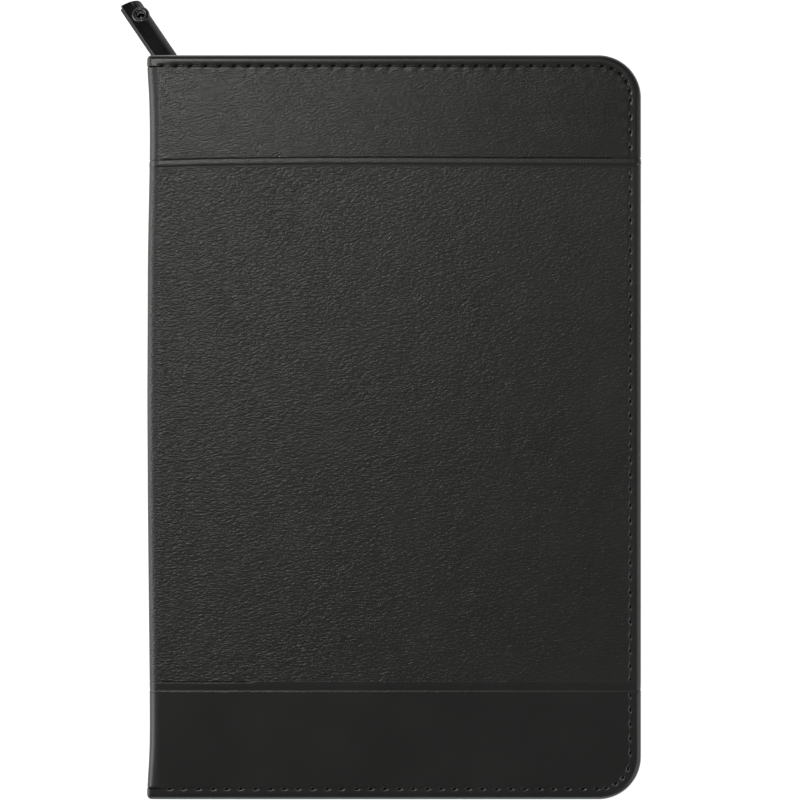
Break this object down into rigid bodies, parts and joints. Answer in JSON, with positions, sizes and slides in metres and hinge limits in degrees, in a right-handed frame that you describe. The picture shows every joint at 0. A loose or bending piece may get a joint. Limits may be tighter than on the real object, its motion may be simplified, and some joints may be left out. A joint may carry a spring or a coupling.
{
  "type": "zippered padfolio",
  "caption": "Shut black leather padfolio: padded covers folding on a spine, zip on three sides with a slider and pull tab, writing pad, pen loop and pockets inside.",
  "frame": {"origin": "centre of the back cover's resting face, with the case lying shut", "axes": "+X from the spine to the fore edge, +Y to the top edge, +Z out of the front cover"},
  "size_m": [0.165, 0.2541, 0.0253],
  "materials": {
    "grained_leather": "fine pebbled grain, soft satin",
    "smooth_leather": "smooth hide with fine creases, satin",
    "welt_leather": "rolled seam strip with fine cross ribs",
    "pocket_leather": "smooth, turned and stitched edges",
    "cover_board": "grey board",
    "padding_foam": "soft padding",
    "lining_cloth": "black twill",
    "zip_tape": "black herringbone tape",
    "zip_teeth": "moulded, satin black",
    "slider_metal": "black nickel",
    "tab_metal": "polished black nickel",
    "eyelet_metal": "rolled, polished dark nickel",
    "pad_paper": "white ruled sheets",
    "backing_card": "grey-brown card",
    "binding_tape": "black binding tape",
    "elastic_webbing": "black ribbed elastic"
  },
  "bodies": {
    "back_cover": {"back_top_panel": "smooth_leather", "back_top_welt": "welt_leather", "back_centre_panel": "grained_leather", "back_bottom_welt": "welt_leather", "back_bottom_panel": "smooth_leather", "back_foam": "padding_foam", "back_board": "cover_board", "back_lining": "lining_cloth", "back_zip_tape": "zip_tape", "back_zip_teeth": "zip_teeth", "zip_end_stops": "zip_teeth", "pad_sleeve": "pocket_leather", "pad_backing": "backing_card", "pad_sheets": "pad_paper", "pad_binding": "binding_tape"},
    "spine": {"spine_top_panel": "smooth_leather", "spine_top_welt": "welt_leather", "spine_centre_panel": "grained_leather", "spine_bottom_welt": "welt_leather", "spine_bottom_panel": "smooth_leather", "spine_board": "cover_board", "spine_lining": "lining_cloth", "pen_loop": "elastic_webbing"},
    "front_cover": {"front_top_panel": "smooth_leather", "front_top_welt": "welt_leather", "front_centre_panel": "grained_leather", "front_bottom_welt": "welt_leather", "front_bottom_panel": "smooth_leather", "front_foam": "padding_foam", "front_board": "cover_board", "front_lining": "lining_cloth", "front_zip_tape": "zip_tape", "front_zip_teeth": "zip_teeth", "document_pocket": "pocket_leather", "card_pocket_1": "pocket_leather", "card_pocket_2": "pocket_leather", "card_pocket_3": "pocket_leather"},
    "slider": {"slider_body": "slider_metal", "slider_bail": "slider_metal"},
    "pull_ring": {"pull_ring": "slider_metal"},
    "pull_tab": {"pull_tab": "tab_metal", "tab_eyelet": "eyelet_metal"}
  },
  "joints": [
    {"name": "spine_fold", "type": "hinge", "parent": "back_cover", "child": "spine", "pos_m": [-0.0756, 0, 0.0024], "axis": [0, -1, 0], "range_deg": [0, 90]},
    {"name": "cover_fold", "type": "hinge", "parent": "spine", "child": "front_cover", "pos_m": [-0.0756, 0, 0.0226], "axis": [0, -1, 0], "range_deg": [0, 90]},
    {"name": "slider_slide", "type": "slide", "parent": "back_cover", "child": "slider", "axis": [1, 0, 0], "range_m": [0, 0.1291]},
    {"name": "ring_flap", "type": "hinge", "parent": "slider", "child": "pull_ring", "pos_m": [-0.0694, 0.1132, 0.0125], "axis": [1, 0, 0], "range_deg": [0, 60]},
    {"name": "tab_swing", "type": "hinge", "parent": "pull_ring", "child": "pull_tab", "pos_m": [-0.07087, 0.11537, 0.01138], "axis": [-0.1039, 0.4004, 0.9104], "range_deg": [-50, 10]}
  ]
}
